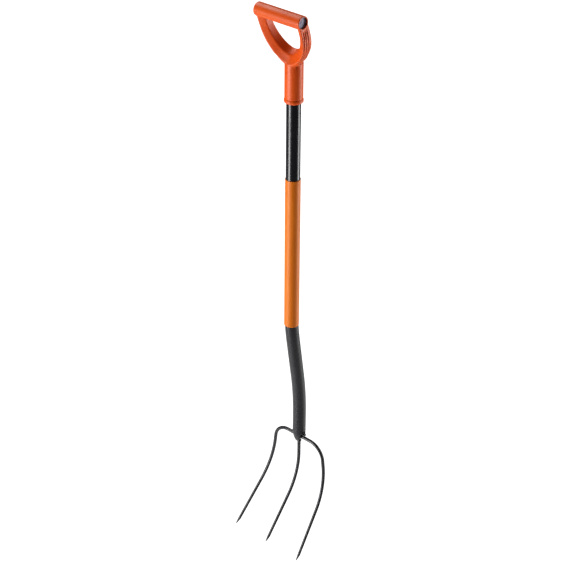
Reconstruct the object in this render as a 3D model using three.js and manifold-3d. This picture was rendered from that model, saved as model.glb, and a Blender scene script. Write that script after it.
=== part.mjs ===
// Three-tine hay fork: a moulded D-handle on a bent steel shaft, with round tines welded into its end.
//
// Millimetres, +Z up. The origin is the middle of the cross grip's underside, where a hook carries
// the fork. +X runs along the cross grip, and the tines' points reach forward, towards -Y.
import * as THREE from "three";
import { mergeVertices } from "three/addons/utils/BufferGeometryUtils.js";
import Module from "manifold-3d";

// Cross grip of the D-handle
const GRIP_RADIUS = 14;
const GRIP_HALF = 59;
const GRIP_BORE = 11.7;
const GRIP_RIM = 1;
const GRIP_AXIS_Z = GRIP_RADIUS;
const PLUG_RECESS = 3.5;
const PLUG_THICKNESS = 3;

// Arms of the D-handle: a flat frame that leans forward from the socket to the grip.
// A drop is measured down the frame's lean from the grip's axis, and a depth backwards across it.
const HANDLE_LEAN = 40.6;
const ARM_TOP_DROP = 6;
const ARM_OUTLINE = [
  [57, ARM_TOP_DROP],
  [57, 24],
  [54.6, 47],
  [46.5, 72],
  [28.3, 101],
  [18.7, 112],
  [8, 121],
];
const ARM_POINTS = 20;
const ARM_BACK = 13.6;
const ARM_FRONT_TOP = 11;
const ARM_FRONT_FLARE = 6;
const ARM_FLARE_DROP = 100;
const ARM_INNER_FRONT = 5;
const ARM_INNER_BACK = 13;
const OPENING_HALF = 42.5;
const OPENING_MID = 28;
const OPENING_DROP = 63;
const OPENING_STRIP = 2;
const OPENING_EDGE_REACH = 1;
const OPENING_EDGE_SHARE = 1.02;
const FLUTE_RADIUS = 1.5;
const FLUTE_TOP_DROP = 22;
const FLUTE_BOTTOM_DROP = 108;
const FLUTE_DEPTHS = [
  [-5.5, -11.5],
  [0, -3],
  [4.8, 6.5],
];

// Socket of the D-handle
const SOCKET_TOP_Z = -91;
const SOCKET_BOTTOM_Z = -178;
const SOCKET_RADIUS = 19;
const COLLAR_RADIUS = 20;
const COLLAR_HEIGHT = 10;
const COLLAR_ROUND = 1.5;
const COLLAR_GROOVE = 1.2;
const SOCKET_ROOF = 8;

// Steel shaft: straight, then set back by a double bend, then straight into the head
const SHAFT_RADIUS = 15;
const SHAFT_WALL = 1.5;
const SHAFT_Y = HANDLE_LEAN;
const UPPER_BEND_Z = -711;
const LOWER_BEND_Z = -906;
const UPPER_BEND_RADIUS = 450;
const LOWER_BEND_RADIUS = 700;
const HEAD_SETBACK = 30.2;
const HEAD_Y = SHAFT_Y + HEAD_SETBACK;

// Sleeve over the middle of the shaft
const SLEEVE_TOP_Z = -349;
const SLEEVE_LENGTH = 354.5;
const SLEEVE_RADIUS = 16.2;
const SLEEVE_LIP = 0.5;

// Head: the shaft's end is cut to two lips that are pressed together over the tines
const LIPS_TOP_Z = -1006;
const LIPS_PRESS_Z = -1008;
const NOSE_Z = -1036;
const NOSE_HALF = 4.8;
const NOSE_PRESS = 0.55;
const LIPS_PRESS_CURVE = 1.5;
const LIPS_RING_STEP = 4;
const LIPS_RINGS = 8;
const LIPS_CUT_BELOW = 10;

// Tines: one bar bent into the two outer tines, and a centre tine under it
const BAR_Z = -1023.4;
const BAR_RADIUS = 3.9;
const TINE_END_RADIUS = 3.1;
const POINT_LENGTH = 16;
const POINT_RADIUS = 0.8;
const POINT_RINGS = [0, 2, 5, 9, 13, POINT_LENGTH];
const TAPER_LENGTH = 235;
const SHOULDER_X = 69;
const SHOULDER_RADIUS = 40;
const SWEEP_X = 82;
const SWEEP_Z = -1133;
const SWEEP_RADIUS = 170;
const TIP_X = 96.6;
const TIP_Y = HANDLE_LEAN - 83.4;
const TIP_Z = -1274;

// Welds, and the screw that holds the handle
const WELD_SIZE = [3, 4.6, 4];
const WELD_X = 16.2;
const WELD_LIFT = 8.6;
const NOSE_WELD_RADIUS = 5.8;
const NOSE_WELD_HEIGHT = 2.4;
const NOSE_WELD_SLOPE = 0.4;
const SCREW_Z = -140;
const SCREW_RADIUS = 2;
const SCREW_LENGTH = 14;
const SCREW_HEAD_RADIUS = 4;
const SCREW_HEAD_HEIGHT = 2.4;
const SCREW_CROSS = 1;

// Gap between pieces that touch
const GAP = 0.3;

const ROUND_SIDES = 40;
const SCREW_SIDES = 24;
const TINE_SIDES = 16;
const WELD_SIDES = 16;
const WELD_ROWS = 10;
const ARC_STEP = Math.PI / 36;
const RING_MARGIN = 1;
// Share of an edge's radius that is left at the middle of a corner cut in two facets
const CORNER_MIDDLE = 0.3;

const wasm = await Module();
wasm.setup();

// A closed geometry as a solid that can be joined and cut.
function solidFrom(geometry) {
  const bare = geometry.clone();
  bare.deleteAttribute("normal");
  bare.deleteAttribute("uv");
  const merged = mergeVertices(bare, 1e-3);
  return new wasm.Manifold(
    new wasm.Mesh({
      numProp: 3,
      vertProperties: new Float32Array(merged.attributes.position.array),
      triVerts: new Uint32Array(merged.index.array),
    }),
  );
}

function geometryFrom(solid) {
  const { vertProperties, triVerts } = solid.getMesh();
  const geometry = new THREE.BufferGeometry();
  geometry.setAttribute("position", new THREE.BufferAttribute(vertProperties, 3));
  geometry.setIndex(new THREE.BufferAttribute(triVerts, 1));
  geometry.computeVertexNormals();
  return geometry;
}

function moveVertices(geometry, move) {
  const position = geometry.attributes.position;
  const point = new THREE.Vector3();
  for (let i = 0; i < position.count; i += 1) {
    point.fromBufferAttribute(position, i);
    move(point);
    position.setXYZ(i, point.x, point.y, point.z);
  }
  geometry.computeVertexNormals();
  return geometry;
}

// A closed profile of [radius, height] pairs, turned about Z.
function turned(profile, sides = ROUND_SIDES) {
  const points = profile.map(([radius, height]) => new THREE.Vector2(radius, height));
  return new THREE.LatheGeometry(points, sides).rotateX(Math.PI / 2);
}

// A round corner of a path in space.
class CornerArc extends THREE.Curve {
  constructor(corner, inward, outward, radius) {
    super();
    this.angle = Math.PI - inward.angleTo(outward);
    const reach = radius * Math.tan(this.angle / 2);
    this.start = corner.clone().addScaledVector(inward, reach);
    this.end = corner.clone().addScaledVector(outward, reach);
    const middle = inward.clone().add(outward).normalize();
    this.centre = corner.clone().addScaledVector(middle, radius / Math.cos(this.angle / 2));
    this.radius = radius;
    this.first = this.start.clone().sub(this.centre).normalize();
    this.second = inward.clone().negate();
  }

  getPoint(t, target = new THREE.Vector3()) {
    const turn = this.angle * t;
    return target
      .copy(this.centre)
      .addScaledVector(this.first, this.radius * Math.cos(turn))
      .addScaledVector(this.second, this.radius * Math.sin(turn));
  }
}

// Straight runs between corners, each corner rounded to its own radius.
function roundedPath(corners, radii) {
  const path = new THREE.CurvePath();
  let from = corners[0];
  radii.forEach((radius, i) => {
    const corner = corners[i + 1];
    const inward = corners[i].clone().sub(corner).normalize();
    const outward = corners[i + 2].clone().sub(corner).normalize();
    const arc = new CornerArc(corner, inward, outward, radius);
    path.add(new THREE.LineCurve3(from, arc.start));
    path.add(arc);
    from = arc.end;
  });
  path.add(new THREE.LineCurve3(from, corners.at(-1)));
  return path;
}

// Distances along a path where a ring is needed: both ends of each run, and steps round each arc.
function stations(path) {
  const found = [0];
  let passed = 0;
  for (const piece of path.curves) {
    const length = piece.getLength();
    const steps = piece.angle ? Math.ceil(piece.angle / ARC_STEP) : 1;
    for (let i = 1; i <= steps; i += 1) {
      found.push(passed + (length * i) / steps);
    }
    passed += length;
  }
  return found;
}

// A turned shape laid along a path: its height becomes the distance along the path.
function laidAlong(path, profile, sides) {
  const length = path.getLength();
  const across = new THREE.Vector3(0, 1, 0);
  return moveVertices(turned(profile, sides), (point) => {
    const t = THREE.MathUtils.clamp(point.z / length, 0, 1);
    const centre = path.getPoint(t);
    const tangent = path.getTangent(t);
    const side = new THREE.Vector3().crossVectors(across, tangent).normalize();
    const up = new THREE.Vector3().crossVectors(tangent, side);
    const { x, y } = point;
    point.copy(centre).addScaledVector(side, x).addScaledVector(up, y);
  });
}

// A tube's closed profile between two distances, with extra rings where it bends.
function tubeProfile(rings, from, to, inner, outer) {
  const between = rings.filter((ring) => ring > from + RING_MARGIN && ring < to - RING_MARGIN);
  const down = [from, ...between, to];
  const outside = down.map((ring) => [outer, ring]);
  const inside = [...down].reverse().map((ring) => [inner, ring]);
  return [...outside, ...inside, outside[0]];
}

const shaftTopZ = SOCKET_TOP_Z - SOCKET_ROOF - GAP;
const shaftPath = roundedPath(
  [
    new THREE.Vector3(0, SHAFT_Y, shaftTopZ),
    new THREE.Vector3(0, SHAFT_Y, UPPER_BEND_Z),
    new THREE.Vector3(0, HEAD_Y, LOWER_BEND_Z),
    new THREE.Vector3(0, HEAD_Y, NOSE_Z),
  ],
  [UPPER_BEND_RADIUS, LOWER_BEND_RADIUS],
);

// Screw hole, or screw, pointing forward into the back of the socket.
function screwPin(radius, length) {
  const pin = new THREE.CylinderGeometry(radius, radius, length, TINE_SIDES);
  const mouthY = SHAFT_Y + SOCKET_RADIUS;
  return pin.translate(0, mouthY + GAP - length / 2, SCREW_Z);
}

// Outline of one arm's outer face, from the grip down into the socket.
function armOutline(side) {
  return new THREE.SplineCurve(ARM_OUTLINE.map(([half, drop]) => new THREE.Vector2(side * half, -drop)));
}

function bordersOpening(x, drop) {
  if (drop < OPENING_MID) {
    return Math.abs(x) < OPENING_HALF + OPENING_EDGE_REACH;
  }
  return Math.hypot(x / OPENING_HALF, (drop - OPENING_MID) / OPENING_DROP) < OPENING_EDGE_SHARE;
}

// The arms' front edge comes further forward towards the socket.
function armFront(drop) {
  return ARM_FRONT_TOP + ARM_FRONT_FLARE * Math.min(drop / ARM_FLARE_DROP, 1) ** 2;
}

function leanForward(geometry) {
  const lean = Math.atan2(HANDLE_LEAN, GRIP_AXIS_Z - SOCKET_TOP_Z);
  return geometry.rotateX(lean).translate(0, 0, GRIP_AXIS_Z);
}

// The two arms and the web between them, thinner round the hand opening.
function armFrame() {
  const outline = new THREE.Shape([
    ...armOutline(-1).getPoints(ARM_POINTS),
    ...armOutline(1).getPoints(ARM_POINTS).reverse(),
  ]);
  const openingTop = -ARM_TOP_DROP - OPENING_STRIP;
  const opening = new THREE.Path();
  opening.moveTo(OPENING_HALF, openingTop);
  opening.lineTo(OPENING_HALF, -OPENING_MID);
  opening.absellipse(0, -OPENING_MID, OPENING_HALF, OPENING_DROP, 0, Math.PI, true);
  opening.lineTo(-OPENING_HALF, openingTop);
  opening.closePath();
  outline.holes.push(opening);
  const frame = new THREE.ExtrudeGeometry(outline, {
    depth: 1,
    bevelEnabled: false,
    curveSegments: ARM_POINTS,
  });
  frame.rotateX(Math.PI / 2);
  moveVertices(frame, (point) => {
    const inner = bordersOpening(point.x, -point.z);
    const front = inner ? ARM_INNER_FRONT : armFront(-point.z);
    const back = inner ? ARM_INNER_BACK : ARM_BACK;
    point.y = point.y < -0.5 ? -front : back;
  });
  return leanForward(frame);
}

// A long flute down the outer face of one arm, from one depth at the grip to another at the socket.
function flute(side, topDepth, bottomDepth) {
  const lowest = ARM_OUTLINE.at(-1)[1];
  const route = armOutline(side)
    .getPoints(ARM_POINTS)
    .filter((point) => -point.y > FLUTE_TOP_DROP && -point.y < FLUTE_BOTTOM_DROP)
    .map((point) => {
      const depth = THREE.MathUtils.lerp(topDepth, bottomDepth, -point.y / lowest);
      return new THREE.Vector3(point.x, depth, point.y);
    });
  const section = new THREE.Shape().absarc(0, 0, FLUTE_RADIUS, 0, 2 * Math.PI);
  const cutter = new THREE.ExtrudeGeometry(section, {
    extrudePath: new THREE.CatmullRomCurve3(route),
    steps: ARM_POINTS,
    curveSegments: 3,
    bevelEnabled: false,
  });
  return leanForward(cutter);
}

function gripBody() {
  const profile = [
    [0, -GRIP_HALF],
    [GRIP_RADIUS - GRIP_RIM, -GRIP_HALF],
    [GRIP_RADIUS - GRIP_RIM * CORNER_MIDDLE, -GRIP_HALF + GRIP_RIM * CORNER_MIDDLE],
    [GRIP_RADIUS, -GRIP_HALF + GRIP_RIM],
    [GRIP_RADIUS, GRIP_HALF - GRIP_RIM],
    [GRIP_RADIUS - GRIP_RIM * CORNER_MIDDLE, GRIP_HALF - GRIP_RIM * CORNER_MIDDLE],
    [GRIP_RADIUS - GRIP_RIM, GRIP_HALF],
    [0, GRIP_HALF],
  ];
  return turned(profile).rotateY(Math.PI / 2).translate(0, 0, GRIP_AXIS_Z);
}

function gripBore() {
  const bore = new THREE.CylinderGeometry(GRIP_BORE, GRIP_BORE, 3 * GRIP_HALF, ROUND_SIDES);
  return bore.rotateZ(Math.PI / 2).translate(0, 0, GRIP_AXIS_Z);
}

function socketBody() {
  const grooveZ = SOCKET_BOTTOM_Z + COLLAR_HEIGHT;
  const profile = [
    [0, SOCKET_BOTTOM_Z],
    [COLLAR_RADIUS - COLLAR_ROUND, SOCKET_BOTTOM_Z],
    [COLLAR_RADIUS - COLLAR_ROUND * CORNER_MIDDLE, SOCKET_BOTTOM_Z + COLLAR_ROUND * CORNER_MIDDLE],
    [COLLAR_RADIUS, SOCKET_BOTTOM_Z + COLLAR_ROUND],
    [COLLAR_RADIUS, grooveZ - COLLAR_GROOVE],
    [SOCKET_RADIUS - COLLAR_GROOVE / 2, grooveZ],
    [SOCKET_RADIUS, grooveZ + COLLAR_GROOVE],
    [SOCKET_RADIUS, SOCKET_TOP_Z],
    [0, SOCKET_TOP_Z],
  ];
  return turned(profile).translate(0, SHAFT_Y, 0);
}

function socketBore() {
  const radius = SHAFT_RADIUS + GAP;
  const roofZ = SOCKET_TOP_Z - SOCKET_ROOF;
  const height = 2 * (roofZ - SOCKET_BOTTOM_Z);
  const bore = new THREE.CylinderGeometry(radius, radius, height, ROUND_SIDES);
  return bore.rotateX(Math.PI / 2).translate(0, SHAFT_Y, roofZ - height / 2);
}

function handleGeometry() {
  let solid = solidFrom(gripBody()).add(solidFrom(armFrame())).add(solidFrom(socketBody()));
  solid = solid.subtract(solidFrom(gripBore())).subtract(solidFrom(socketBore()));
  solid = solid.subtract(solidFrom(screwPin(SCREW_RADIUS + GAP, SCREW_LENGTH * 2)));
  for (const side of [-1, 1]) {
    for (const [topDepth, bottomDepth] of FLUTE_DEPTHS) {
      solid = solid.subtract(solidFrom(flute(side, topDepth, bottomDepth)));
    }
  }
  return geometryFrom(solid);
}

function plugGeometry() {
  const radius = GRIP_BORE - GAP;
  const plug = new THREE.CylinderGeometry(radius, radius, PLUG_THICKNESS, ROUND_SIDES);
  return plug.rotateZ(Math.PI / 2);
}

function screwGeometry() {
  const profile = [
    [0, -SCREW_LENGTH],
    [SCREW_RADIUS * 0.5, -SCREW_LENGTH],
    [SCREW_RADIUS, -SCREW_LENGTH + SCREW_RADIUS * 2],
    [SCREW_RADIUS, 0],
    [SCREW_HEAD_RADIUS, 0],
    [SCREW_HEAD_RADIUS, SCREW_HEAD_HEIGHT * 0.4],
    [SCREW_HEAD_RADIUS * 0.75, SCREW_HEAD_HEIGHT * 0.85],
    [SCREW_HEAD_RADIUS * 0.3, SCREW_HEAD_HEIGHT],
    [0, SCREW_HEAD_HEIGHT],
  ];
  const screw = solidFrom(turned(profile, SCREW_SIDES));
  const arm = new THREE.BoxGeometry(SCREW_HEAD_RADIUS, SCREW_CROSS, SCREW_HEAD_HEIGHT);
  arm.translate(0, 0, SCREW_HEAD_HEIGHT);
  const recess = solidFrom(arm).add(solidFrom(arm.clone().rotateZ(Math.PI / 2)));
  return geometryFrom(screw.subtract(recess));
}

// Each lip narrows towards the nose, so everything beside the nose is cut away.
function lipCutter(side) {
  const outside = 2 * SHAFT_RADIUS;
  const shape = new THREE.Shape([
    new THREE.Vector2(side * SHAFT_RADIUS, LIPS_TOP_Z),
    new THREE.Vector2(side * outside, LIPS_TOP_Z),
    new THREE.Vector2(side * outside, NOSE_Z - LIPS_CUT_BELOW),
    new THREE.Vector2(side * NOSE_HALF, NOSE_Z - LIPS_CUT_BELOW),
    new THREE.Vector2(side * NOSE_HALF, NOSE_Z),
  ]);
  const cutter = new THREE.ExtrudeGeometry(shape, { depth: 3 * SHAFT_RADIUS, bevelEnabled: false });
  return cutter.rotateX(Math.PI / 2).translate(0, HEAD_Y + 1.5 * SHAFT_RADIUS, 0);
}

function shaftGeometry() {
  const length = shaftPath.getLength();
  const lipRings = Array.from({ length: LIPS_RINGS }, (_, i) => length - LIPS_RING_STEP * (i + 1));
  const rings = [...stations(shaftPath), ...lipRings].sort((a, b) => a - b);
  const profile = tubeProfile(rings, 0, length, SHAFT_RADIUS - SHAFT_WALL, SHAFT_RADIUS);
  const tube = moveVertices(laidAlong(shaftPath, profile, ROUND_SIDES), (point) => {
    const pressed = THREE.MathUtils.clamp((LIPS_PRESS_Z - point.z) / (LIPS_PRESS_Z - NOSE_Z), 0, 1);
    const keep = 1 - NOSE_PRESS * pressed ** LIPS_PRESS_CURVE;
    point.y = point.z < LIPS_PRESS_Z ? HEAD_Y + (point.y - HEAD_Y) * keep : point.y;
  });
  let solid = solidFrom(tube).subtract(solidFrom(screwPin(SCREW_RADIUS + GAP, SCREW_LENGTH * 2)));
  solid = solid.subtract(solidFrom(lipCutter(-1))).subtract(solidFrom(lipCutter(1)));
  return geometryFrom(solid);
}

function sleeveGeometry() {
  const from = shaftTopZ - SLEEVE_TOP_Z;
  const to = from + SLEEVE_LENGTH;
  const bends = stations(shaftPath).filter((ring) => ring > from && ring < to - 2 * RING_MARGIN);
  const inner = SHAFT_RADIUS + GAP;
  const outside = [from + SLEEVE_LIP, ...bends, to - SLEEVE_LIP];
  const profile = [
    [inner, from],
    [SLEEVE_RADIUS - SLEEVE_LIP, from],
    ...outside.map((ring) => [SLEEVE_RADIUS, ring]),
    [SLEEVE_RADIUS - SLEEVE_LIP, to],
    [inner, to],
    ...[...bends].reverse().map((ring) => [inner, ring]),
    [inner, from],
  ];
  return laidAlong(shaftPath, profile, ROUND_SIDES);
}

// Radius of a tine at a distance from its point: a short ground point, then a slow taper.
function tineRadius(toTip) {
  if (toTip < POINT_LENGTH) {
    const t = toTip / POINT_LENGTH;
    return POINT_RADIUS + (TINE_END_RADIUS - POINT_RADIUS) * Math.sin((t * Math.PI) / 2);
  }
  const t = Math.min((toTip - POINT_LENGTH) / (TAPER_LENGTH - POINT_LENGTH), 1);
  return TINE_END_RADIUS + (BAR_RADIUS - TINE_END_RADIUS) * t;
}

function outerTinesGeometry() {
  const half = (side) => [
    new THREE.Vector3(side * SHOULDER_X, HEAD_Y, BAR_Z),
    new THREE.Vector3(side * SWEEP_X, HEAD_Y, SWEEP_Z),
    new THREE.Vector3(side * TIP_X, TIP_Y, TIP_Z),
  ];
  const path = roundedPath(
    [...half(-1).reverse(), ...half(1)],
    [SWEEP_RADIUS, SHOULDER_RADIUS, SHOULDER_RADIUS, SWEEP_RADIUS],
  );
  const length = path.getLength();
  const points = POINT_RINGS.flatMap((ring) => [ring, length - ring]);
  const tapers = [TAPER_LENGTH, length - TAPER_LENGTH];
  const inner = stations(path).slice(1, -1);
  const rings = [...new Set([...points, ...tapers, ...inner])].sort((a, b) => a - b);
  const skin = rings.map((ring) => [tineRadius(Math.min(ring, length - ring)), ring]);
  return laidAlong(path, [[0, 0], ...skin, [0, length]], TINE_SIDES);
}

function centreTineGeometry() {
  const path = roundedPath(
    [
      new THREE.Vector3(0, HEAD_Y, BAR_Z - BAR_RADIUS - GAP),
      new THREE.Vector3(0, HEAD_Y, SWEEP_Z),
      new THREE.Vector3(0, TIP_Y, TIP_Z),
    ],
    [SWEEP_RADIUS],
  );
  const length = path.getLength();
  const points = POINT_RINGS.map((ring) => length - ring);
  const inner = stations(path).slice(0, -1);
  const rings = [...inner, length - TAPER_LENGTH, ...points].sort((a, b) => a - b);
  const skin = rings.map((ring) => [tineRadius(length - ring), ring]);
  return laidAlong(path, [[0, 0], ...skin, [0, length]], TINE_SIDES);
}

function weldGeometry() {
  return new THREE.SphereGeometry(1, WELD_SIDES, WELD_ROWS).scale(...WELD_SIZE);
}

function noseWeldGeometry() {
  const inner = BAR_RADIUS + GAP;
  const profile = [
    [inner, 0],
    [NOSE_WELD_RADIUS, 0],
    [NOSE_WELD_RADIUS - NOSE_WELD_SLOPE, -NOSE_WELD_HEIGHT / 2],
    [inner, -NOSE_WELD_HEIGHT],
    [inner, 0],
  ];
  return turned(profile.reverse(), TINE_SIDES);
}

const orangePlastic = new THREE.MeshStandardMaterial({ color: 0xe0571f, roughness: 0.35 });
const orangeSleeve = new THREE.MeshStandardMaterial({ color: 0xe0701e, roughness: 0.4 });
const greyPlug = new THREE.MeshStandardMaterial({ color: 0x6c6976, roughness: 0.5 });
const blackSteel = new THREE.MeshStandardMaterial({ color: 0x1c1c20, roughness: 0.5, metalness: 0.2 });
const zincSteel = new THREE.MeshStandardMaterial({ color: 0xa8a9ad, roughness: 0.35, metalness: 0.9 });

function piece(name, geometry, material) {
  const mesh = new THREE.Mesh(geometry, material);
  mesh.name = name;
  return mesh;
}

const group = new THREE.Group();
group.add(
  piece("d_handle", handleGeometry(), orangePlastic),
  piece("shaft_tube", shaftGeometry(), blackSteel),
  piece("shaft_sleeve", sleeveGeometry(), orangeSleeve),
  piece("outer_tines", outerTinesGeometry(), blackSteel),
  piece("centre_tine", centreTineGeometry(), blackSteel),
);

for (const [name, side] of [["left", -1], ["right", 1]]) {
  const plug = piece(`grip_plug_${name}`, plugGeometry(), greyPlug);
  plug.position.set(side * (GRIP_HALF - PLUG_RECESS - PLUG_THICKNESS / 2), 0, GRIP_AXIS_Z);
  const weld = piece(`weld_${name}`, weldGeometry(), blackSteel);
  weld.position.set(side * WELD_X, HEAD_Y, BAR_Z + WELD_LIFT);
  group.add(plug, weld);
}

const noseWeld = piece("weld_nose", noseWeldGeometry(), blackSteel);
noseWeld.position.set(0, HEAD_Y, NOSE_Z - GAP);
const screw = piece("handle_screw", screwGeometry(), zincSteel);
screw.rotation.x = -Math.PI / 2;
screw.position.set(0, SHAFT_Y + SOCKET_RADIUS + GAP, SCREW_Z);
group.add(noseWeld, screw);

export default group;
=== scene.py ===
"""Looks of a three-tine hay fork: moulded D-handle, sleeved and bent steel shaft, welded tines.

Metres, +Z up, -Y towards the tines' points. The fork hangs by its cross grip, whose underside is
the origin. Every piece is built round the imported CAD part, from the boxes of its nodes.
"""

import math

import bmesh
import bpy
import numpy as np
import openvdb
from mathutils import Euler, Matrix, Vector


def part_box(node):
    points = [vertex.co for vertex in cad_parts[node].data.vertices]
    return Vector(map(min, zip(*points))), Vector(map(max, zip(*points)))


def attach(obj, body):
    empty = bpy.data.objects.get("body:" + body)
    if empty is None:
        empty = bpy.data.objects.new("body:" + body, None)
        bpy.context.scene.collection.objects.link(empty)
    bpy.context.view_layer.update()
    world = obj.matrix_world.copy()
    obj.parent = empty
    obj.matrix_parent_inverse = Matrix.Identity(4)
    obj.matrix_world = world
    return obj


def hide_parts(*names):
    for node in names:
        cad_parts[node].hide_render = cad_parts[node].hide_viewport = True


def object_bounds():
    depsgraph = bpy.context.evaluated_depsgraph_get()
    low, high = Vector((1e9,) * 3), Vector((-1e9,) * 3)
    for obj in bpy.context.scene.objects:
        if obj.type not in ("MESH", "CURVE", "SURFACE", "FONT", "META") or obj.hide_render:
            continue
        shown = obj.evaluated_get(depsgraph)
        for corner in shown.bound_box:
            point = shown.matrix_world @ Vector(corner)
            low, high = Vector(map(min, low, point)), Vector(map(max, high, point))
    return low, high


MM = 0.001

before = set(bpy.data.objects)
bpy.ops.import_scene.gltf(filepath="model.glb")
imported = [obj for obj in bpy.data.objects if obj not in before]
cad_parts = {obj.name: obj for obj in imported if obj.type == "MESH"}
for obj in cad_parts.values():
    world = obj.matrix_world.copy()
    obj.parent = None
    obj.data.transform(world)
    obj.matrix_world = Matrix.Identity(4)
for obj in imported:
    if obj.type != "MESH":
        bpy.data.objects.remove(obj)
cad_low, cad_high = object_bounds()

# Places read from the CAD part
handle_low, handle_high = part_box("d_handle")
tube_low, tube_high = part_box("shaft_tube")
sleeve_low, sleeve_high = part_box("shaft_sleeve")
tines_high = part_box("outer_tines")[1]
centre_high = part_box("centre_tine")[1]
nose_low, nose_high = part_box("weld_nose")
screw_low, screw_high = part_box("handle_screw")

# Cross grip and arms of the D-handle
GRIP_HALF = handle_high.x
GRIP_RADIUS = handle_high.z / 2
GRIP_Z = GRIP_RADIUS
GRIP_WALL = 2.3 * MM
GRIP_EDGE = 0.6 * MM
HANDLE_LEAN = 40.6 * MM
LEAN_DROP = 105 * MM
# Arms, by distance down the lean: half width, depths of the front's outer and inner edge and of
# the back, and the front corner's radius. The front slopes in over ARM_WIDTH from the opening.
ARM_OUTLINE = [(57, 0), (57, 8), (57, 24), (54.6, 47), (46.5, 72), (28.3, 101), (18.7, 112),
               (8, 121)]
ARM_FRONT = [(11, 0), (11.3, 24), (12.6, 47), (14.5, 72), (17, 92), (19, 105), (20, 121)]
ARM_FRONT_INNER = [(3.5, 0), (5.5, 92), (6, 121)]
ARM_BACK = [(13.2, 0), (13.6, 47), (13.6, 72), (13.6, 121)]
ARM_CORNER = [(2, 0), (2.2, 47), (3, 72), (6, 95), (11, 110), (15, 121)]
ARM_WIDTH = 12 * MM
ARM_EDGE = 2.2 * MM
INNER_EDGE_BACK = 13 * MM
OPENING_HALF = 42.5 * MM
OPENING_MID = 28 * MM
OPENING_DROP = 64.3 * MM
OPENING_RISE = 0.22
OPENING_POWER = 1.8
OPENING_ROUND = 6 * MM
# Flutes down the arms' outer faces, each by depths at distances down the lean
FLUTE_DEPTH = 1.8 * MM
FLUTE_HALF = 1.6 * MM
FLUTES = [
    [(-5.5, 14), (-6, 30), (-8, 45), (-10, 68), (-12.5, 84), (-16, 100), (-20, 121)],
    [(0, 14), (-1.2, 32), (-2, 45), (-2.6, 68), (-4.5, 84), (-8, 100), (-12, 121)],
    [(4.8, 14), (4.3, 35), (4.2, 54), (5, 72), (5, 90), (3, 121)],
]
FLUTE_TOP = 16 * MM
FLUTE_FADE = 9 * MM

# Socket of the D-handle
SHAFT_Y = HANDLE_LEAN
SOCKET_TOP_Z = GRIP_Z - LEAN_DROP
SOCKET_BOTTOM_Z = handle_low.z
SOCKET_RADIUS = 19 * MM
SOCKET_SHOULDER = 2.4 * MM
COLLAR_RADIUS = handle_high.y - SHAFT_Y
COLLAR_HEIGHT = 10 * MM
COLLAR_EDGE = 3.8 * MM
SCREW_HOLE_Z = -140 * MM
SCREW_HOLE_RADIUS = 2.3 * MM
SOCKET_BORE = 15.3 * MM
YOKE_FILLET = 2 * MM
YOKE_RADIUS = 19.6 * MM
YOKE_LOW_Z = -95 * MM
YOKE_FLARE = 1.35
# Notches between the ribs' ends: degrees from the front, lowest and highest Z
RIB_ENDS = [(58, -98, -95.5), (84, -93, -91)]
RIB_END_ROUND = 20 * MM
RIB_END_RADIUS = 1.7 * MM

# Shaft, sleeve and head
SHAFT_RADIUS = 15 * MM
SHAFT_WALL = 1.5 * MM
SLEEVE_GAP = 0.15 * MM
UPPER_BEND_Z = -711 * MM
LOWER_BEND_Z = -906 * MM
UPPER_BEND_RADIUS = 450 * MM
LOWER_BEND_RADIUS = 700 * MM
HEAD_Y = SHAFT_Y + 30.2 * MM
HEAD_LENGTH = 16 * MM
LIPS_TOP_Z = -1006 * MM
LIPS_PRESS_Z = -1008 * MM
NOSE_Z = tube_low.z
NOSE_HALF = 4.8 * MM
NOSE_PRESS = 0.55

# Tines
BAR_RADIUS = 3.9 * MM
BAR_Z = tines_high.z - BAR_RADIUS
SHOULDER_X = 69 * MM
SHOULDER_RADIUS = 40 * MM
SWEEP_X = 82 * MM
SWEEP_Z = -1133 * MM
SWEEP_RADIUS = 170 * MM
TIP_X = 96.5 * MM
TIP_Y = HANDLE_LEAN - 81.4 * MM
TIP_Z = -1273.7 * MM
TINE_END_RADIUS = 3.1 * MM
TAPER_LENGTH = 235 * MM
POINT_LENGTH = 15 * MM
POINT_RADIUS = 0.6 * MM

# Camera and stage
CAMERA_PLACE = Vector((1.7888, -1.9419, 1.0028))
CAMERA_YAW = 42.54
CAMERA_TILT = 30.92
CAMERA_ROLL = 0.33
CAMERA_LENS = 92.68
FLOOR_Z = cad_low.z - 0.35
FLOOR_REACH = 30
WORLD_STRENGTH = 0.05
BACKDROP_STRENGTH = 1.05


# ---------------------------------------------------------------- mesh helpers

def add_piece(name, points, faces, sharp_angle=50):
    """A named mesh object with outward normals and smooth shading up to an angle."""
    mesh = bpy.data.meshes.new(name)
    mesh.from_pydata([tuple(p) for p in points], [], faces)
    work = bmesh.new()
    work.from_mesh(mesh)
    bmesh.ops.recalc_face_normals(work, faces=work.faces)
    work.to_mesh(mesh)
    work.free()
    mesh.shade_smooth()
    mesh.set_sharp_from_angle(angle=math.radians(sharp_angle))
    piece = bpy.data.objects.new(name, mesh)
    bpy.context.scene.collection.objects.link(piece)
    return piece


def skin(name, rings, looped=False, sharp_angle=50):
    """A skin over rings of points, an array of (ring, point, 3), capped unless it loops."""
    count, sides = rings.shape[:2]
    index = np.arange(count * sides).reshape(count, sides)
    lower = index if looped else index[:-1]
    upper = np.roll(index, -1, 0) if looped else index[1:]
    corners = [lower, np.roll(lower, -1, 1), np.roll(upper, -1, 1), upper]
    faces = np.stack(corners, -1).reshape(-1, 4).tolist()
    if not looped:
        faces += [index[0][::-1].tolist(), index[-1].tolist()]
    return add_piece(name, rings.reshape(-1, 3), faces, sharp_angle)


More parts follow.
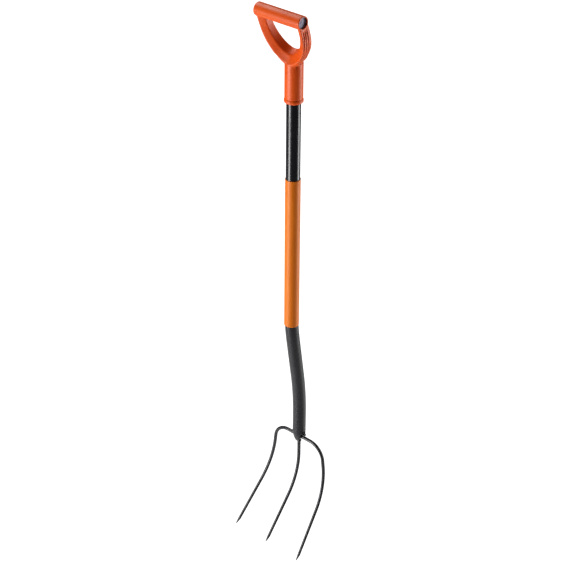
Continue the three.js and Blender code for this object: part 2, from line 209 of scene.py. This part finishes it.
def turned_rings(profile, sides):
    """Rings of points about Z, from a profile of (radius, height)."""
    angle = np.linspace(0, 2 * math.pi, sides, endpoint=False)
    radius, height = np.array(profile).T
    x = radius[:, None] * np.cos(angle)
    y = radius[:, None] * np.sin(angle)
    return np.stack([x, y, np.broadcast_to(height[:, None], x.shape)], -1)


def corner_arc(centre, start_angle, end_angle, radius, steps=6):
    """Points of a round corner in a profile."""
    angles = np.linspace(math.radians(start_angle), math.radians(end_angle), steps)
    return [(centre[0] + radius * math.cos(a), centre[1] + radius * math.sin(a)) for a in angles]


# ---------------------------------------------------------------- distance fields

def smooth_min(a, b, blend):
    h = np.clip(0.5 + 0.5 * (b - a) / blend, 0, 1)
    return b + (a - b) * h - blend * h * (1 - h)


def smooth_max(a, b, blend):
    return -smooth_min(-a, -b, blend)


def ease(value, start, end):
    t = np.clip((value - start) / (end - start), 0, 1)
    return t * t * (3 - 2 * t)


def field_mesh(field, low, high, voxel, settle_steps=2):
    """Points and quads of a field's zero surface, with the points settled onto it."""
    axes = [np.arange(a, b + voxel, voxel) for a, b in zip(low, high)]
    values = field(*np.meshgrid(*axes, indexing="ij", sparse=True)) / voxel
    grid = openvdb.FloatGrid(4.0)
    grid.copyFromArray(np.ascontiguousarray(np.clip(values, -4, 4), dtype=np.float32))
    points, quads = grid.convertToQuads(isovalue=0.0)
    points = np.array(low) + np.array(points, dtype=float) * voxel
    step = voxel * 0.25
    for _ in range(settle_steps):
        value = field(*points.T)
        slope = np.stack([
            (field(*(points + step * axis).T) - field(*(points - step * axis).T)) / (2 * step)
            for axis in np.eye(3)
        ], -1)
        size = np.maximum((slope ** 2).sum(-1), 0.25)
        move = slope * (value / size)[:, None]
        length = np.linalg.norm(move, axis=1, keepdims=True)
        points = points - move * np.minimum(1, 0.5 * voxel / np.maximum(length, 1e-12))
    return points, quads.tolist()


# ---------------------------------------------------------------- paths

def rounded_path(corners, radii, step):
    """Points along straight runs with round corners, close together on the bends."""
    corners = [np.array(c, dtype=float) for c in corners]
    points = [corners[0]]
    for i, radius in enumerate(radii):
        before, corner, after = corners[i:i + 3]
        inward = (before - corner) / np.linalg.norm(before - corner)
        outward = (after - corner) / np.linalg.norm(after - corner)
        angle = math.pi - math.acos(np.clip(inward @ outward, -1, 1))
        middle = (inward + outward) / np.linalg.norm(inward + outward)
        centre = corner + middle * radius / math.cos(angle / 2)
        first = corner + inward * radius * math.tan(angle / 2) - centre
        count = max(2, math.ceil(angle * radius / step))
        for k in range(count + 1):
            turn = angle * k / count
            points.append(centre + first * math.cos(turn) - inward * radius * math.sin(turn))
    points.append(corners[-1])
    return np.array(points)


def along(points):
    """Distance of each point from the path's start."""
    return np.concatenate([[0], np.cumsum(np.linalg.norm(np.diff(points, axis=0), axis=1))])


def resampled(points, distances):
    """Points of the path at the given distances."""
    passed = along(points)
    return np.stack([np.interp(distances, passed, points[:, i]) for i in range(3)], -1)


def path_frames(points):
    """Tangent, side and up of a path that never runs along Y."""
    tangent = np.gradient(points, axis=0)
    tangent /= np.linalg.norm(tangent, axis=1, keepdims=True)
    side = np.cross([0, 1, 0], tangent)
    side /= np.linalg.norm(side, axis=1, keepdims=True)
    return tangent, side, np.cross(tangent, side)


def round_rings(points, radii, sides):
    """Circles of the given radii round each point of a path."""
    _, side, up = path_frames(points)
    angle = np.linspace(0, 2 * math.pi, sides, endpoint=False)
    across = side[:, None] * np.cos(angle)[:, None] + up[:, None] * np.sin(angle)[:, None]
    return points[:, None] + across * np.asarray(radii)[:, None, None]


# ---------------------------------------------------------------- D-handle

lean = math.atan2(HANDLE_LEAN, LEAN_DROP)


def smooth_curve(knots, drop):
    """Value and slope of a smooth curve through (value, distance) knots, in millimetres."""
    knots = np.array(knots, dtype=float) * MM
    ends = [2 * knots[0] - knots[1], *knots, 2 * knots[-1] - knots[-2]]
    t = np.linspace(0, 1, 12, endpoint=False)[:, None]
    curve = []
    for a, b, c, d in zip(ends, ends[1:], ends[2:], ends[3:]):
        curve.append(0.5 * (2 * b + (c - a) * t + (2 * a - 5 * b + 4 * c - d) * t ** 2
                            + (3 * b - a - 3 * c + d) * t ** 3))
    value, place = np.concatenate(curve + [knots[-1:]]).T
    return np.interp(drop, place, value), np.interp(drop, place, np.gradient(value, place))


def arms_field(x, drop, depth):
    """Two arms and the yoke, from a flat frame at the grip to a round form at the socket."""
    side = np.abs(x)
    width, slope = smooth_curve(ARM_OUTLINE, drop)
    fade = ease(np.hypot(drop, depth), FLUTE_TOP, FLUTE_TOP + FLUTE_FADE)
    flute = 0
    for knots in FLUTES:
        across = (depth - smooth_curve(knots, drop)[0]) / FLUTE_HALF
        flute = flute + np.maximum(1 - across ** 2, 0) ** 0.75
    outer = (side - width) / np.sqrt(1 + slope ** 2) + FLUTE_DEPTH * fade * flute
    low_edge = OPENING_DROP - OPENING_RISE * depth
    across = np.hypot(side, OPENING_ROUND) / OPENING_HALF
    below = np.maximum(drop - OPENING_MID, 0) / low_edge
    reach = (across ** OPENING_POWER + below ** OPENING_POWER) ** (1 / OPENING_POWER)
    steep = OPENING_POWER - 1
    rise = np.hypot(across ** steep / OPENING_HALF, below ** steep / low_edge)
    rise /= np.maximum(reach, 0.05) ** steep
    inner = (1 - reach) / np.maximum(rise, 1 / OPENING_DROP)
    share = np.minimum(smooth_max(1 + inner / ARM_WIDTH, 0, 0.2), 1)
    front_depth = smooth_curve(ARM_FRONT, drop)[0]
    front_inner = smooth_curve(ARM_FRONT_INNER, drop)[0]
    back_depth = smooth_curve(ARM_BACK, drop)[0]
    corner = smooth_curve(ARM_CORNER, drop)[0]
    front = -depth - front_depth + (front_depth - front_inner) * share
    back = depth - back_depth + (back_depth - INNER_EDGE_BACK) * share
    rounded = np.hypot(np.maximum(outer + corner, 0), np.maximum(front + corner, 0)) - corner
    solid = np.maximum(rounded, np.maximum(outer, front))
    solid = smooth_max(solid, back, ARM_EDGE)
    solid = smooth_max(solid, inner, ARM_EDGE)
    return np.maximum(np.maximum(solid, -drop), drop - ARM_OUTLINE[-1][1] * MM)


def turned_field(radius, height, limit, low, high, edge):
    """Distance from an upright cylinder with rounded edges."""
    middle, half = (low + high) / 2, (high - low) / 2
    dx = radius - limit + edge
    dz = np.abs(height - middle) - half + edge
    outside = np.hypot(np.maximum(dx, 0), np.maximum(dz, 0))
    return outside + np.minimum(np.maximum(dx, dz), 0) - edge


def handle_field(x, drop, depth):
    """Distance from the moulding, in the frame that leans with its arms."""
    y = drop * math.sin(lean) + depth * math.cos(lean)
    z = GRIP_Z - drop * math.cos(lean) + depth * math.sin(lean)
    grip_round = np.hypot(drop, depth)
    grip = turned_field(grip_round, x, GRIP_RADIUS, -GRIP_HALF, GRIP_HALF, GRIP_EDGE)
    shaft_round = np.hypot(x, y - SHAFT_Y)
    socket = turned_field(shaft_round, z, SOCKET_RADIUS, SOCKET_BOTTOM_Z + 3 * MM,
                          SOCKET_TOP_Z, SOCKET_SHOULDER)
    flare = YOKE_RADIUS + YOKE_FLARE * np.maximum(z - YOKE_LOW_Z, 0)
    yoke_limit = (shaft_round - flare) / math.hypot(1, YOKE_FLARE)
    arms = smooth_max(arms_field(x, drop, depth), yoke_limit, 5 * MM)
    solid = smooth_min(arms, socket, YOKE_FILLET)
    turned = np.arctan2(np.abs(x), SHAFT_Y - y)
    for angle, low_z, high_z in RIB_ENDS:
        beyond = np.maximum(np.maximum(z - high_z * MM, low_z * MM - z), 0)
        away = SOCKET_RADIUS * (turned - math.radians(angle))
        notch = np.sqrt((shaft_round - RIB_END_ROUND) ** 2 + away ** 2 + beyond ** 2)
        notch = notch - RIB_END_RADIUS
        solid = smooth_max(solid, -notch, 0.6 * MM)
    collar_top = SOCKET_BOTTOM_Z + COLLAR_HEIGHT
    collar = turned_field(shaft_round, z, COLLAR_RADIUS, SOCKET_BOTTOM_Z, collar_top,
                          COLLAR_EDGE)
    groove = np.hypot(shaft_round - SOCKET_RADIUS - 0.3 * MM, z - collar_top) - 0.9 * MM
    solid = smooth_max(smooth_min(solid, collar, 0.6 * MM), -groove, 0.5 * MM)
    solid = smooth_min(solid, grip, 2.2 * MM)
    solid = smooth_max(solid, -(grip_round - GRIP_RADIUS + GRIP_WALL), 0.4 * MM)
    bore = np.maximum(shaft_round - SOCKET_BORE, z - SOCKET_TOP_Z + 8 * MM)
    solid = smooth_max(solid, -bore, 0.7 * MM)
    screw = np.maximum(np.hypot(x, z - SCREW_HOLE_Z) - SCREW_HOLE_RADIUS, SHAFT_Y - y)
    return np.maximum(solid, -screw)


def build_handle():
    low = (-GRIP_HALF - 2 * MM, -GRIP_RADIUS - 2 * MM, -54 * MM)
    high = (GRIP_HALF + 2 * MM, 204 * MM, 20 * MM)
    voxel = 0.9 * MM
    points, quads = field_mesh(handle_field, low, high, voxel)
    x, drop, depth = points.T
    y = drop * math.sin(lean) + depth * math.cos(lean)
    z = GRIP_Z - drop * math.cos(lean) + depth * math.sin(lean)
    return add_piece("handle_moulding", np.stack([x, y, z], -1), quads, 180)


PLUG_AXIS = 0.02 * MM
PLUG_SIDES = 96


def build_plug(name, node, side):
    """A cap with a shallow dished face and a small boss in the middle."""
    low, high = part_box(node)
    radius = (high.z - low.z) / 2
    thick = high.x - low.x
    rim = 0.5 * MM
    dished = thick - 1 * MM
    boss = thick - 0.7 * MM
    face = [(PLUG_AXIS, boss), (1.2 * MM, boss), (1.5 * MM, dished), (radius * 0.8, dished),
            (radius * 0.84, thick - 0.8 * MM), (radius * 0.87, thick)]
    outside = corner_arc((radius - rim, thick - rim), 90, 0, rim)
    inside = corner_arc((radius - rim, rim), 0, -90, rim) + [(PLUG_AXIS, 0)]
    rings = turned_rings(face + outside + inside, PLUG_SIDES)
    place = Matrix.Translation(((low.x if side > 0 else high.x), 0, GRIP_Z))
    turn = Matrix.Rotation(math.radians(90 * side), 4, "Y")
    plug = skin(name, rings)
    plug.data.transform(place @ turn)
    return plug


SCREW_HEAD_HEIGHT = 2.4 * MM
SCREW_HEAD_RADIUS = 4 * MM
SCREW_PITCH = 1.3 * MM


def screw_field(x, y, z):
    """Pan head with a cross recess, and a threaded shank, along Y."""
    radius = np.hypot(x, z)
    head_y = screw_high.y - SCREW_HEAD_HEIGHT
    dome = np.sqrt(radius ** 2 + (y - head_y + 3.6 * MM) ** 2) - 5.7 * MM
    head = np.maximum(smooth_max(dome, radius - SCREW_HEAD_RADIUS, 0.6 * MM), head_y - y)
    turn = np.arctan2(z, x) / (2 * math.pi)
    thread = np.abs(((y / SCREW_PITCH - turn) % 1) - 0.5) * 2
    tip = np.clip((y - screw_low.y) / (4 * MM), 0.2, 1)
    shank = np.maximum(radius - (1.5 + 0.5 * (1 - thread)) * MM * tip, y - head_y)
    shank = np.maximum(shank, screw_low.y - y)
    arm = 0.55 * MM + 0.1 * (y - screw_high.y)
    cross = np.minimum(np.maximum(np.abs(x) - arm, np.abs(z) - 2 * MM),
                       np.maximum(np.abs(z) - arm, np.abs(x) - 2 * MM))
    cross = np.maximum(cross, screw_high.y - 1.6 * MM - y)
    return np.maximum(np.minimum(head, shank * 0.7), -cross)


def build_screw():
    centre_z = (screw_low.z + screw_high.z) / 2
    reach = (screw_high.z - screw_low.z) / 2 + 0.5 * MM
    points, quads = field_mesh(
        screw_field, (-reach, screw_low.y - 0.5 * MM, -reach),
        (reach, screw_high.y + 0.5 * MM, reach), 0.2 * MM)
    points[:, 2] += centre_z
    return add_piece("handle_screw_detailed", points, quads, 35)


# ---------------------------------------------------------------- shaft and sleeve

SHAFT_SIDES = 96


def shaft_line(top_z, bottom_z):
    corners = [(0, SHAFT_Y, top_z), (0, SHAFT_Y, UPPER_BEND_Z),
               (0, HEAD_Y, LOWER_BEND_Z), (0, HEAD_Y, bottom_z)]
    return rounded_path(corners, [UPPER_BEND_RADIUS, LOWER_BEND_RADIUS], 8 * MM)


def lip_end(x):
    """Height of the tube's cut end, which runs in a V to the nose on the front and back."""
    share = np.clip((SHAFT_RADIUS - np.abs(x)) / (SHAFT_RADIUS - NOSE_HALF), 0, 1)
    return LIPS_TOP_Z + (NOSE_Z - LIPS_TOP_Z) * ease_corner(share)


def ease_corner(share):
    """Straight, with its two ends rounded."""
    return share + 0.04 * np.sin(2 * math.pi * share)


def pressed(points):
    """The lips bend inwards over the tines."""
    share = np.clip((LIPS_PRESS_Z - points[..., 2]) / (LIPS_PRESS_Z - NOSE_Z), 0, 1)
    keep = 1 - NOSE_PRESS * share ** 1.5
    points[..., 1] = HEAD_Y + (points[..., 1] - HEAD_Y) * keep
    return points


def build_shaft():
    """Tube from inside the socket to the lips, with its wall and its cut edge."""
    head_top_z = LIPS_TOP_Z + HEAD_LENGTH
    line = shaft_line(tube_high.z, head_top_z)
    inner = SHAFT_RADIUS - SHAFT_WALL
    angle = np.linspace(0, 2 * math.pi, SHAFT_SIDES, endpoint=False)
    cut_rows = np.linspace(0, 1, 30)[1:]

    def head_rows(radius, shares, shorten):
        x = radius * np.cos(angle)
        y = HEAD_Y + radius * np.sin(angle)
        end = lip_end(x * SHAFT_RADIUS / radius) + shorten
        z = head_top_z + (end - head_top_z) * np.asarray(shares)[:, None]
        return np.stack([np.broadcast_to(x, z.shape), np.broadcast_to(y, z.shape), z], -1)

    outer_rings = round_rings(line, np.full(len(line), SHAFT_RADIUS), SHAFT_SIDES)
    inner_rings = round_rings(line, np.full(len(line), inner), SHAFT_SIDES)
    middle = (SHAFT_RADIUS + inner) / 2
    edge = SHAFT_WALL / 2
    rim = [head_rows(middle + edge * math.cos(a), [1], edge * 0.7 * (1 - math.sin(a)))
           for a in np.linspace(0.3, math.pi - 0.3, 5)]
    outer_rings = outer_rings[:, aligned(outer_rings[-1], angle)]
    inner_rings = inner_rings[:, aligned(inner_rings[-1], angle)]
    rows = [outer_rings, head_rows(SHAFT_RADIUS, cut_rows[:-1], edge), *rim,
            head_rows(inner, cut_rows[:-1], edge)[::-1], inner_rings[::-1]]
    return skin("shaft_tube_detailed", pressed(np.concatenate(rows)), looped=True, sharp_angle=60)


def aligned(ring, angle):
    """Order that makes a ring's points start at +X and turn as the given angles do."""
    found = np.arctan2(ring[:, 1] - HEAD_Y, ring[:, 0]) % (2 * math.pi)
    gap = np.abs((angle[:, None] - found[None] + math.pi) % (2 * math.pi) - math.pi)
    return gap.argmin(1)


def build_sleeve():
    top, bottom = sleeve_high.z, sleeve_low.z
    outer = (sleeve_high.x - sleeve_low.x) / 2
    inner = SHAFT_RADIUS + SLEEVE_GAP
    edge = (outer - inner) / 2
    profile = corner_arc((outer - edge, top - edge), 180, 0, edge, 9)
    profile += [(outer, z) for z in np.linspace(top - 2 * edge, bottom + 2 * edge, 40)]
    profile += corner_arc((outer - edge, bottom + edge), 0, -180, edge, 9)
    rings = turned_rings(profile, SHAFT_SIDES)
    rings[..., 1] += SHAFT_Y
    return skin("sleeve_moulded", rings, looped=True)


# ---------------------------------------------------------------- tines and welds

TINE_SIDES = 48


def tine_radii(to_tip):
    taper = np.clip((to_tip - POINT_LENGTH) / (TAPER_LENGTH - POINT_LENGTH), 0, 1)
    body = TINE_END_RADIUS + (BAR_RADIUS - TINE_END_RADIUS) * taper
    point = np.clip(to_tip / POINT_LENGTH, 0, 1)
    return np.where(to_tip < POINT_LENGTH,
                    POINT_RADIUS + (TINE_END_RADIUS - POINT_RADIUS) * point ** 0.8, body)


def tine_rings(line, to_tip):
    """Circles along a tine, drawn to its hollow side at the point, which is ground on the back."""
    radii = tine_radii(to_tip)
    tangent, _, _ = path_frames(line)
    forward = np.cross([1, 0, 0], tangent)
    forward /= np.maximum(np.linalg.norm(forward, axis=1, keepdims=True), 0.01)
    forward *= -np.sign(forward[:, 1:2])
    shift = np.where(to_tip < POINT_LENGTH, TINE_END_RADIUS - radii, 0)
    return round_rings(line + forward * shift[:, None], radii, TINE_SIDES)


def spaced(length, from_start, from_end):
    """Distances along a tine, closer together at a point."""
    coarse = np.arange(0, length, 4 * MM)
    fine = np.arange(1 * MM, POINT_LENGTH + 4 * MM, 1 * MM)
    fine = np.concatenate([[0.15 * MM, 0.4 * MM], fine])
    parts = [coarse, [length]]
    if from_start:
        parts.append(fine)
    if from_end:
        parts.append(length - fine)
    return np.unique(np.concatenate(parts).round(6))


def build_outer_tines():
    def half(side):
        return [(side * SHOULDER_X, HEAD_Y, BAR_Z), (side * SWEEP_X, HEAD_Y, SWEEP_Z),
                (side * TIP_X, TIP_Y, TIP_Z)]
    line = rounded_path(half(-1)[::-1] + half(1),
                        [SWEEP_RADIUS, SHOULDER_RADIUS, SHOULDER_RADIUS, SWEEP_RADIUS], 2 * MM)
    length = along(line)[-1]
    stops = spaced(length, True, True)
    rings = tine_rings(resampled(line, stops), np.minimum(stops, length - stops))
    return skin("outer_tines_forged", rings)


def build_centre_tine():
    line = rounded_path([(0, HEAD_Y, centre_high.z), (0, HEAD_Y, SWEEP_Z), (0, TIP_Y, TIP_Z)],
                        [SWEEP_RADIUS], 2 * MM)
    length = along(line)[-1]
    stops = spaced(length, False, True)
    return skin("centre_tine_forged", tine_rings(resampled(line, stops), length - stops))


def build_side_weld(name, node):
    """A short bead of overlapping ripples."""
    low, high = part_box(node)
    centre, half = (low + high) / 2, (high - low) / 2

    def field(x, y, z):
        solid = None
        for share in (-0.55, -0.18, 0.18, 0.55):
            dx = (x - centre.x) / (half.x * 0.92)
            dy = (y - centre.y - share * half.y) / (half.y * 0.45)
            dz = (z - centre.z + abs(share) * 0.3 * half.z) / (half.z * (0.95 - 0.3 * abs(share)))
            ball = (np.sqrt(dx ** 2 + dy ** 2 + dz ** 2) - 1) * half.x * 0.6
            solid = ball if solid is None else smooth_min(solid, ball, 0.5 * MM)
        return solid

    margin = Vector((1, 1, 1)) * MM
    points, quads = field_mesh(field, low - margin, high + margin, 0.3 * MM)
    return add_piece(name, points, quads, 180)


def build_nose_weld():
    """A rippled fillet round the centre tine, under the bar."""
    centre = (nose_low + nose_high) / 2
    radius = (nose_high.x - nose_low.x) / 2

    def field(x, y, z):
        turn = np.arctan2(y - centre.y, x - centre.x)
        ripple = 0.18 * MM * np.cos(11 * turn)
        ring = np.hypot(x - centre.x, y - centre.y)
        bead = np.hypot(ring - radius + 1.25 * MM, (z - centre.z) * 1.05) - 1.05 * MM - ripple
        return bead

    margin = Vector((1, 1, 1)) * MM
    points, quads = field_mesh(field, nose_low - margin, nose_high + margin, 0.25 * MM)
    return add_piece("weld_nose_bead", points, quads, 180)


# ---------------------------------------------------------------- materials

def shader(name, color, roughness, metallic=0.0):
    """A material with its Principled shader and helpers to add nodes to it."""
    material = bpy.data.materials.new(name)
    material.use_nodes = True
    nodes, links = material.node_tree.nodes, material.node_tree.links
    principled = nodes["Principled BSDF"]
    principled.inputs["Base Color"].default_value = (*color, 1)
    principled.inputs["Roughness"].default_value = roughness
    principled.inputs["Metallic"].default_value = metallic
    return material, nodes, links, principled


def noise(nodes, links, scale, detail=3.0, roughness=0.55, stretch=(1, 1, 1)):
    """Noise in the object's own coordinates."""
    place = nodes.new("ShaderNodeTexCoord")
    mapping = nodes.new("ShaderNodeMapping")
    mapping.inputs["Scale"].default_value = stretch
    texture = nodes.new("ShaderNodeTexNoise")
    texture.inputs["Scale"].default_value = scale
    texture.inputs["Detail"].default_value = detail
    texture.inputs["Roughness"].default_value = roughness
    links.new(place.outputs["Object"], mapping.inputs["Vector"])
    links.new(mapping.outputs["Vector"], texture.inputs["Vector"])
    return texture.outputs["Fac"]


def remap(nodes, links, value, low, high, start=0.3, end=0.7):
    node = nodes.new("ShaderNodeMapRange")
    node.inputs["From Min"].default_value = start
    node.inputs["From Max"].default_value = end
    node.inputs["To Min"].default_value = low
    node.inputs["To Max"].default_value = high
    links.new(value, node.inputs["Value"])
    return node.outputs["Result"]


def color_mix(nodes, links, factor, first, second, kind="MIX"):
    node = nodes.new("ShaderNodeMix")
    node.data_type = "RGBA"
    node.blend_type = kind
    links.new(factor, node.inputs["Factor"])
    for socket, value in ((node.inputs["A"], first), (node.inputs["B"], second)):
        if hasattr(value, "links"):
            links.new(value, socket)
        else:
            socket.default_value = (*value, 1)
    return node.outputs["Result"]


def bump(nodes, links, principled, layers):
    """Adds bumps of (height, distance in metres, strength), the first one lowest."""
    normal = None
    for height, distance, strength in layers:
        node = nodes.new("ShaderNodeBump")
        node.inputs["Distance"].default_value = distance
        node.inputs["Strength"].default_value = strength
        links.new(height, node.inputs["Height"])
        if normal is not None:
            links.new(normal, node.inputs["Normal"])
        normal = node.outputs["Normal"]
    links.new(normal, principled.inputs["Normal"])


def plastic_material(name, base, deep, roughness):
    """Moulded plastic: slow colour drift, faint flow marks and a fine satin skin."""
    material, nodes, links, principled = shader(name, base, roughness)
    drift = remap(nodes, links, noise(nodes, links, 22, 4), 0, 0.55)
    fleck = remap(nodes, links, noise(nodes, links, 900, 2), 0, 0.25)
    color = color_mix(nodes, links, drift, base, deep)
    color = color_mix(nodes, links, fleck, color, deep)
    links.new(color, principled.inputs["Base Color"])
    smear = noise(nodes, links, 60, 4, 0.6, (1, 1, 0.25))
    varied = remap(nodes, links, smear, roughness - 0.05, roughness + 0.07)
    links.new(varied, principled.inputs["Roughness"])
    skin_bump = noise(nodes, links, 1500, 2)
    wave = noise(nodes, links, 120, 2)
    bump(nodes, links, principled, [(wave, 0.0004, 0.25), (skin_bump, 0.00006, 0.5)])
    principled.inputs["Specular IOR Level"].default_value = 0.33
    return material


def coated_steel_material(name, base, roughness, grain, grain_height):
    """Black coating: orange-peel grain and a slightly uneven gloss."""
    material, nodes, links, principled = shader(name, base, roughness)
    lighter = tuple(c * 2.2 + 0.004 for c in base)
    patch = remap(nodes, links, noise(nodes, links, 30, 5, 0.6), 0, 0.5)
    grit = remap(nodes, links, noise(nodes, links, grain, 2), 0, 0.4)
    color = color_mix(nodes, links, patch, base, lighter)
    color = color_mix(nodes, links, grit, color, lighter)
    links.new(color, principled.inputs["Base Color"])
    uneven = noise(nodes, links, 90, 4, 0.6, (1, 1, 0.3))
    varied = remap(nodes, links, uneven, roughness - 0.05, roughness + 0.08)
    links.new(varied, principled.inputs["Roughness"])
    peel = noise(nodes, links, grain, 3)
    slow = noise(nodes, links, grain * 0.2, 2)
    bump(nodes, links, principled, [(slow, grain_height * 2, 0.2), (peel, grain_height, 0.15)])
    return material


def zinc_material():
    material, nodes, links, principled = shader("zinc_steel", (0.5, 0.5, 0.52), 0.32, 1.0)
    tone = remap(nodes, links, noise(nodes, links, 500, 4), 0, 1)
    links.new(color_mix(nodes, links, tone, (0.55, 0.55, 0.57), (0.38, 0.38, 0.41)),
              principled.inputs["Base Color"])
    links.new(remap(nodes, links, noise(nodes, links, 800, 3), 0.25, 0.45),
              principled.inputs["Roughness"])
    return material


def paint(piece, material):
    piece.data.materials.clear()
    piece.data.materials.append(material)


def place(piece, material, slot, *nodes):
    """Gives a piece its material, hangs it on the root body and hides the CAD nodes it stands in
    for.
    """
    paint(piece, material)
    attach(piece, "root")
    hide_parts(*nodes)


# ---------------------------------------------------------------- stage, lights and camera

def build_floor():
    mesh = bpy.data.meshes.new("floor")
    reach = FLOOR_REACH
    corners = [(-reach, -reach), (reach, -reach), (reach, reach), (-reach, reach)]
    mesh.from_pydata([(x, y, FLOOR_Z) for x, y in corners], [], [(0, 1, 2, 3)])
    floor = bpy.data.objects.new("floor", mesh)
    bpy.context.scene.collection.objects.link(floor)
    material, nodes, links, principled = shader("pale_floor", (0.9, 0.9, 0.9), 0.9)
    white = nodes.new("ShaderNodeEmission")
    white.inputs["Strength"].default_value = BACKDROP_STRENGTH
    seen = nodes.new("ShaderNodeLightPath")
    mix = nodes.new("ShaderNodeMixShader")
    links.new(seen.outputs["Is Camera Ray"], mix.inputs["Fac"])
    links.new(principled.outputs["BSDF"], mix.inputs[1])
    links.new(white.outputs["Emission"], mix.inputs[2])
    links.new(mix.outputs["Shader"], nodes["Material Output"].inputs["Surface"])
    floor.data.materials.append(material)


def softbox(name, azimuth, distance, low_z, high_z, width, power, aim_z):
    """A tall white light at an azimuth in degrees, 0 towards -Y and 90 towards +X."""
    light = bpy.data.lights.new(name, "AREA")
    light.shape = "RECTANGLE"
    light.size = width
    light.size_y = high_z - low_z
    light.energy = power
    lamp = bpy.data.objects.new(name, light)
    bpy.context.scene.collection.objects.link(lamp)
    angle = math.radians(azimuth)
    lamp.location = (distance * math.sin(angle), -distance * math.cos(angle), (low_z + high_z) / 2)
    toward = Vector((0, SHAFT_Y, aim_z)) - lamp.location
    lamp.rotation_euler = toward.to_track_quat("-Z", "Y").to_euler()
    return lamp


def build_world(strength):
    """Dim even surroundings that look white to the camera."""
    world = bpy.data.worlds.new("studio")
    bpy.context.scene.world = world
    world.use_nodes = True
    nodes, links = world.node_tree.nodes, world.node_tree.links
    background = nodes["Background"]
    background.inputs["Color"].default_value = (1, 1, 1, 1)
    seen = nodes.new("ShaderNodeLightPath")
    level = remap(nodes, links, seen.outputs["Is Camera Ray"], strength, BACKDROP_STRENGTH, 0, 1)
    links.new(level, background.inputs["Strength"])


def build_camera():
    camera = bpy.data.objects.new("camera", bpy.data.cameras.new("camera"))
    bpy.context.scene.collection.objects.link(camera)
    turn = Euler((0, 0, math.radians(CAMERA_YAW))).to_matrix()
    turn = turn @ Euler((math.radians(90 - CAMERA_TILT), 0, 0)).to_matrix()
    turn = turn @ Euler((0, 0, math.radians(CAMERA_ROLL))).to_matrix()
    camera.matrix_world = Matrix.Translation(CAMERA_PLACE) @ turn.to_4x4()
    camera.data.lens = CAMERA_LENS
    camera.data.sensor_width = 36
    camera.data.clip_end = 100
    bpy.context.scene.camera = camera


# ---------------------------------------------------------------- assembly

build_camera()
build_world(WORLD_STRENGTH)
build_floor()
bpy.context.scene.view_settings.view_transform = "Standard"
bpy.context.scene.view_settings.look = "Medium High Contrast"
softbox("softbox_left", azimuth=-22, distance=1.6, low_z=-1.5, high_z=0.1, width=0.7, power=40,
        aim_z=-0.5)
softbox("softbox_right", azimuth=140, distance=1.6, low_z=-1.5, high_z=0.6, width=0.8, power=31,
        aim_z=-0.2)
softbox("softbox_top", azimuth=262, distance=1.2, low_z=0.7, high_z=2.2, width=1.6, power=34,
        aim_z=0)

handle_plastic = plastic_material(
    "handle_plastic", (0.62, 0.097, 0.008), (0.53, 0.066, 0.006), 0.4)
sleeve_plastic = plastic_material(
    "sleeve_plastic", (0.56, 0.152, 0.002), (0.5, 0.122, 0.002), 0.45)
plug_plastic = plastic_material("plug_plastic", (0.33, 0.31, 0.4), (0.22, 0.2, 0.28), 0.5)
shaft_paint = coated_steel_material("shaft_paint", (0.004, 0.004, 0.006), 0.24, 1400, 0.00003)
tine_paint = coated_steel_material("tine_paint", (0.01, 0.01, 0.012), 0.3, 700, 0.00003)

place(build_handle(), handle_plastic, "handle_plastic", "d_handle")
for name, side in (("left", -1), ("right", 1)):
    node = "grip_plug_" + name
    place(build_plug("plug_" + name, node, side), plug_plastic, "plug_plastic", node)
place(build_screw(), zinc_material(), "screw_steel", "handle_screw")
place(build_shaft(), shaft_paint, "shaft_paint", "shaft_tube")
place(build_sleeve(), sleeve_plastic, "sleeve_plastic", "shaft_sleeve")
place(build_outer_tines(), tine_paint, "tine_paint", "outer_tines")
place(build_centre_tine(), tine_paint, "tine_paint", "centre_tine")
for node in ("weld_left", "weld_right"):
    place(build_side_weld(node + "_bead", node), tine_paint, "tine_paint", node)
place(build_nose_weld(), tine_paint, "tine_paint", "weld_nose")
